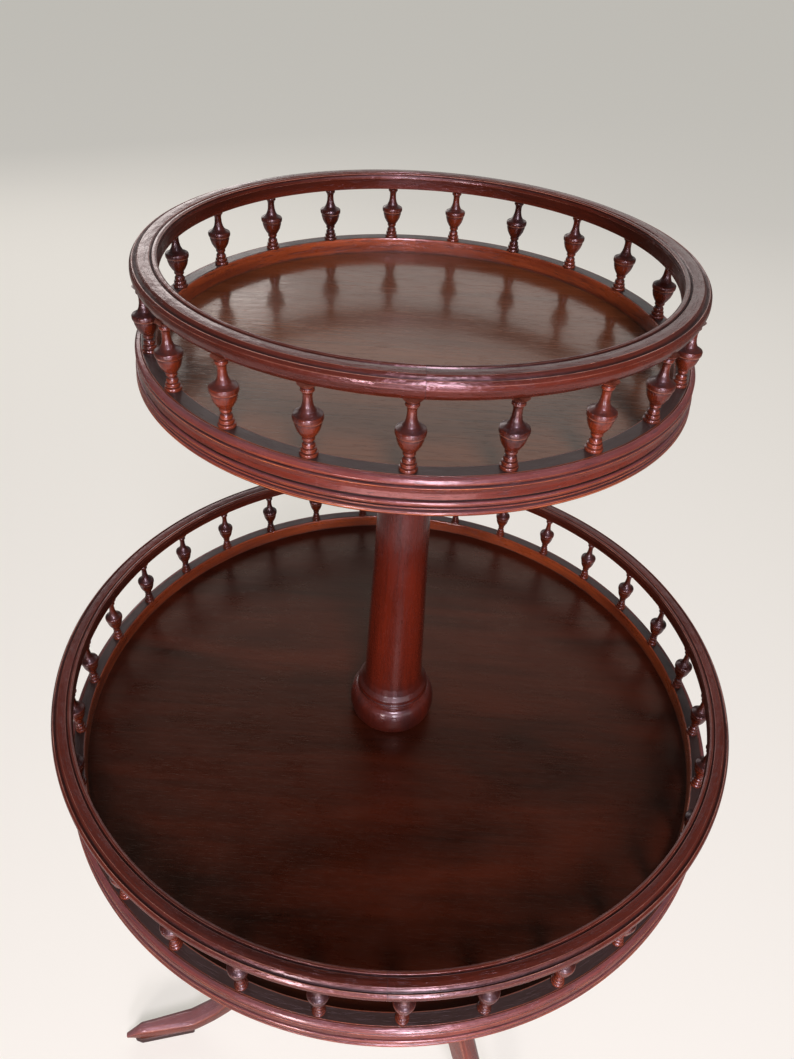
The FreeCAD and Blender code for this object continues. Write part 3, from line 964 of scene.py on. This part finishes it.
def metalMaterial(name, colour, rust, rough, metallic):
    material, tree = newMaterial(name)
    point = addNode(tree, "Attribute", attribute_name="grainPoint").outputs["Vector"]
    tone = addNode(tree, "Attribute", attribute_name="tone").outputs["Fac"]
    wear = useGroup(tree, wearGroup, {"Tone": tone, "Point": point, "Amount": metalBase["wear"]})
    stain = addNoise(tree, point, *metalBase["stain"])
    pitted = addNoise(tree, point, *metalBase["pits"])
    base = addMix(tree, addRange(tree, stain, *metalBase["rustEdge"]), colour, rust)
    rubbed = tuple(min(1, part * metalBase["brighter"]) for part in colour[:3]) + (1,)
    bright = addMix(tree, wear["Worn"], base, rubbed)
    final = addMix(tree, wear["Dirt"], bright, metalBase["dirt"])
    roughest = min(1, rough + metalBase["roughSpread"])
    roughness = addRange(tree, stain, *metalBase["roughEdge"], rough, roughest)
    bump = addNode(tree, "Bump", {"Height": pitted, "Strength": 1.0, "Distance": metalBase["pitDepth"]})
    addSurface(tree, {
        "Base Color": final, "Roughness": roughness, "Normal": bump.outputs[0], "Metallic": metallic,
    })
    return material


braceIron = metalMaterial("braceIron", colour=(0.09, 0.085, 0.08, 1), rust=(0.13, 0.055, 0.025, 1),
                          rough=0.5, metallic=0.8)
screwSteel = metalMaterial("screwSteel", colour=(0.3, 0.27, 0.23, 1), rust=(0.16, 0.07, 0.035, 1),
                           rough=0.35, metallic=0.9)


# Screws
screw = {
    "headRadius": 3.7,
    "shankRadius": 1.9,
    "headHeight": 2.4,
    "proud": 0.15,  # of the surface it is driven into
    "slotHalf": 0.5,
    "slotDepth": 0.8,
    "landSteps": 12,
    "slotSteps": 2,
    "landTone": 0.7,
    "slotTone": -0.6,
}


# A countersunk screw seen from below: a slotted head over a short cone and shank
def slottedScrew(centre, surface, length, twist):
    level = surface - screw["proud"]
    edge = math.degrees(math.asin(screw["slotHalf"] / screw["headRadius"]))
    rim = []
    for turn in (0, 180):
        for first, last, steps, inSlot in (
            (turn + edge, turn + 180 - edge, screw["landSteps"], False),
            (turn + 180 - edge, turn + 180 + edge, screw["slotSteps"], True),
        ):
            rim += [(first + (last - first) * step / steps, inSlot) for step in range(steps + 1)]
    loops = [(screw["headRadius"], 0.0), (screw["shankRadius"], screw["headHeight"]),
             (screw["shankRadius"], length)]
    verts, grain, tones = [], [], []
    for radius, lift in loops:
        for angle, inSlot in rim:
            up = screw["slotDepth"] if inSlot and lift == 0 else lift
            x, y = turnAbout((radius, 0.0), angle + twist)
            verts.append(((centre[0] + x) * mm, (centre[1] + y) * mm, (level + up) * mm))
            grain.append((x * mm, y * mm, up * mm))
            tones.append(0.0 if lift else screw["slotTone" if inSlot else "landTone"])
    count = len(rim)
    faces = skinFaces(count, len(loops), ends=False)
    firstLand = list(range(screw["landSteps"] + 1))
    firstSlot = [len(firstLand) + spot for spot in range(screw["slotSteps"] + 1)]
    nextLand = [count // 2 + spot for spot in firstLand]
    nextSlot = [count // 2 + spot for spot in firstSlot]
    for flat in (firstLand, nextLand, firstSlot + nextSlot):
        faces.append(tuple(reversed(flat)))
    faces.append((firstLand[-1], firstLand[0], nextSlot[-1], firstSlot[0]))
    faces.append((nextLand[-1], nextLand[0], firstSlot[-1], nextSlot[0]))
    faces.append(tuple((len(loops) - 1) * count + spot for spot in range(count)))
    return verts, faces, grain, tones


# One screw at each angle of a circle, into the surface of the piece that holds them
def makeScrews(name, node, holder, circle, angles, surface):
    firstTurn, nextTurn = holder["slotTurns"]
    screws = []
    for number, angle in enumerate(angles):
        centre = turnAbout((circle, 0.0), angle)
        twist = firstTurn + nextTurn * number
        screws.append(slottedScrew(centre, surface, holder["screwLength"], twist))
    piece = meshPiece(name, *joinParts(screws), screwSteel, metalBase["sharpAbove"])
    settle(piece, [node])


# Cleats under the tray boards, with their screws
cleat = {
    "thickness": 18.0,
    "chamfer": 6.0,
    "rim": 9.0,  # from the edge in to where the outline starts, on the flat underside
    "sides": 8,
    "corner": 0.8,
    "cornerTone": 0.4,
    "screwCount": 3,
    "screwShare": 0.72,
    "screwLength": 20.0,
    "slotTurns": (25, 47),  # of the first slot, and on from each slot to the next
    "sharpAbove": 25,
}
cleatWood = woodMaterial("cleatWood", deep=(0.13, 0.065, 0.032, 1), warm=(0.34, 0.19, 0.1, 1),
                         worn=(0.5, 0.33, 0.2, 1), bloomAmount=0.0, coat=0.0, glossLow=0.55, glossHigh=0.75)


def makeCleats():
    for trayName, tray in trays.items():
        radius = tray["cleatRadius"]
        bottom = tray["boardBottom"] - cleat["thickness"]
        outline = roundedOutline([
            (radius - cleat["rim"], 0.0, 0, 0.0),
            (radius - cleat["chamfer"], 0.0, cleat["corner"], cleat["cornerTone"]),
            (radius, cleat["chamfer"], cleat["corner"], cleat["cornerTone"]),
            (radius, cleat["thickness"], 0, 0.0),
        ], closed=False)
        block = turned(outline, facetedPlan(cleat["sides"]), lift=bottom)
        piece = meshPiece(f"{trayName}CleatBlock", *block, cleatWood, cleat["sharpAbove"])
        settle(piece, [f"{trayName}_cleat"])
        angles = [360 / cleat["screwCount"] * number for number in range(cleat["screwCount"])]
        makeScrews(f"{trayName}CleatScrewsSlotted", f"{trayName}_cleat_screws", cleat,
                   radius * cleat["screwShare"], angles, bottom)


# Three-armed brace under the pedestal, with a screw into each leg
brace = {
    "level": 243.4,
    "thickness": 1.6,
    "ease": 0.35,
    "arm": 6.5,
    "reach": 78.0,
    "hub": 22.0,
    "rootCorner": 4.0,
    "roundCorner": 6.0,
    "hubTurns": (38, 60, 82),
    "screwCircle": 64.0,
    "screwLength": 18.0,
    "slotTurns": (70, 53),
}


def makeBrace():
    corners = []
    arm, hub = brace["arm"], brace["hub"]
    root = math.sqrt(hub * hub - arm * arm)
    armCorners = [(root, -arm, brace["rootCorner"]), (brace["reach"], -arm, brace["roundCorner"]),
                  (brace["reach"], arm, brace["roundCorner"]), (root, arm, brace["rootCorner"])]
    for angle in sorted(leg["angles"].values()):
        for across, up, radius in armCorners:
            corners.append((*turnAbout((across, up), angle), radius, 0.0))
        for turn in brace["hubTurns"]:
            corners.append((*turnAbout((hub, 0.0), angle + turn), brace["roundCorner"], 0.0))
    plan = [(x, y) for x, y, tone in roundedOutline(corners)]
    plate = easedPlate(plan, brace["level"], brace["level"] + brace["thickness"], brace["ease"])
    piece = meshPiece("braceForged", *plate, braceIron, metalBase["sharpAbove"])
    settle(piece, ["leg_brace"])
    makeScrews("braceScrewsSlotted", "brace_screws", brace, brace["screwCircle"], leg["angles"].values(),
               brace["level"])


makeCleats()
makeBrace()
print("cleats, screws and brace made")


# Tray boards and stud keep their CAD solids
boards = {
    "upper_tray_board": dict(deep=(0.055, 0.016, 0.0055, 1), warm=(0.15, 0.046, 0.016, 1), figure=0.4,
                             streaks=0.5, pores=0.15, bloomAmount=0.0, coat=0.25, coatRough=0.1,
                             glossLow=0.16, glossHigh=0.23, polishTint=(1.0, 0.78, 0.66, 1),
                             dents=0.00012),
    # The lower board's colours are darker than the upper's as painted shade under the upper tray
    "lower_tray_board": dict(deep=(0.013, 0.0024, 0.001, 1), warm=(0.052, 0.0085, 0.003, 1), figure=0.9,
                             streaks=0.3, pores=0.12, bloomAmount=0.0, coat=0.0, glossLow=0.24,
                             glossHigh=0.38, polishTint=(1.0, 0.66, 0.52, 1), bend=1.48, dents=0.00012),
}


def dress(name, material):
    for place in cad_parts[name].material_slots:
        place.material = material


for boardName, look in boards.items():
    dress(boardName, woodMaterial(boardName + "Polished", fromObject=True, wear=0.0, **look))
dress("joining_stud", woodMaterial("studOak", fromObject=True, deep=(0.16, 0.09, 0.045, 1),
                                   warm=(0.36, 0.22, 0.12, 1), bloomAmount=0.0, coat=0.0, glossLow=0.5,
                                   glossHigh=0.7))
print("boards and stud dressed")


# Floor, world and lamps: in front a cool window, two panes, a wide fill and a low sheen over the floor,
# behind a pale glow and a fill
studio = {
    "floorSize": 60.0,
    "floorColour": (0.47, 0.455, 0.42, 1),
    "floorRough": 0.85,
    "floorGlow": 0.98,  # as the camera alone sees it
    "worldColour": (0.86, 0.85, 0.82, 1),
    "worldStrength": 0.12,
    "worldSeen": 0.9,  # as the camera alone sees it
    # place, aim, width, height, watts, colour
    "lamps": {
        "frontWindow": ((0.45, -2.2, 3.0), (0.0, 0.0, 0.8), 0.8, 1.0, 80, (0.96, 0.90, 1.0)),
        "leftPane": ((-0.75, -2.3, 1.05), (0.0, 0.0, 0.7), 0.30, 0.36, 20, (1.0, 0.92, 0.92)),
        "rightPane": ((0.45, -2.4, 1.1), (0.0, 0.0, 0.7), 0.40, 0.44, 28, (0.96, 0.90, 1.0)),
        "wideFill": ((0.9, -3.0, 1.5), (0.0, 0.0, 0.8), 4.6, 1.3, 30, (1.0, 0.87, 0.85)),
        "floorSheen": ((0.05, -1.9, 0.12), (0.0, 0.0, 0.9), 1.7, 0.7, 22, (1.0, 0.74, 0.70)),
        "backGlow": ((0.0, 2.7, 2.3), (0.0, 0.0, 1.2), 4.2, 2.2, 22, (1.0, 0.97, 0.93)),
        "backFill": ((-1.9, 3.4, 1.9), (0.0, 0.0, 0.4), 2.4, 1.4, 20, (1.0, 0.94, 0.90)),
    },
}


def makeFloor():
    half = studio["floorSize"] / 2
    mesh = bpy.data.meshes.new("paleFloor")
    corners = [(-half, -half, 0), (half, -half, 0), (half, half, 0), (-half, half, 0)]
    mesh.from_pydata(corners, [], [(0, 1, 2, 3)])
    material = bpy.data.materials.new("paleFloor")
    material.use_nodes = True
    tree = material.node_tree
    shader = tree.nodes["Principled BSDF"]
    shader.inputs["Base Color"].default_value = studio["floorColour"]
    shader.inputs["Emission Color"].default_value = studio["floorColour"]
    shader.inputs["Roughness"].default_value = studio["floorRough"]
    seen = addNode(tree, "LightPath").outputs["Is Camera Ray"]
    tree.links.new(addMath(tree, "MULTIPLY", seen, studio["floorGlow"]), shader.inputs["Emission Strength"])
    mesh.materials.append(material)
    floor = bpy.data.objects.new("paleFloor", mesh)
    bpy.context.scene.collection.objects.link(floor)


def makeLights():
    world = bpy.data.worlds.new("dimRoom")
    world.use_nodes = True
    background = world.node_tree.nodes["Background"]
    background.inputs["Color"].default_value = studio["worldColour"]
    seen = addNode(world.node_tree, "LightPath").outputs["Is Camera Ray"]
    strength = addRange(world.node_tree, seen, 0.0, 1.0, studio["worldStrength"], studio["worldSeen"])
    world.node_tree.links.new(strength, background.inputs["Strength"])
    bpy.context.scene.world = world
    for name, (place, aim, width, height, watts, colour) in studio["lamps"].items():
        data = bpy.data.lights.new(name, "AREA")
        data.shape = "RECTANGLE"
        data.size = width
        data.size_y = height
        data.energy = watts
        data.color = colour
        lamp = bpy.data.objects.new(name, data)
        lamp.location = place
        lamp.rotation_euler = (Vector(aim) - Vector(place)).to_track_quat("-Z", "Y").to_euler()
        lamp.visible_camera = False
        bpy.context.scene.collection.objects.link(lamp)


makeFloor()
makeLights()
bpy.context.scene.view_settings.view_transform = "Standard"
print("floor, world and lamps made")
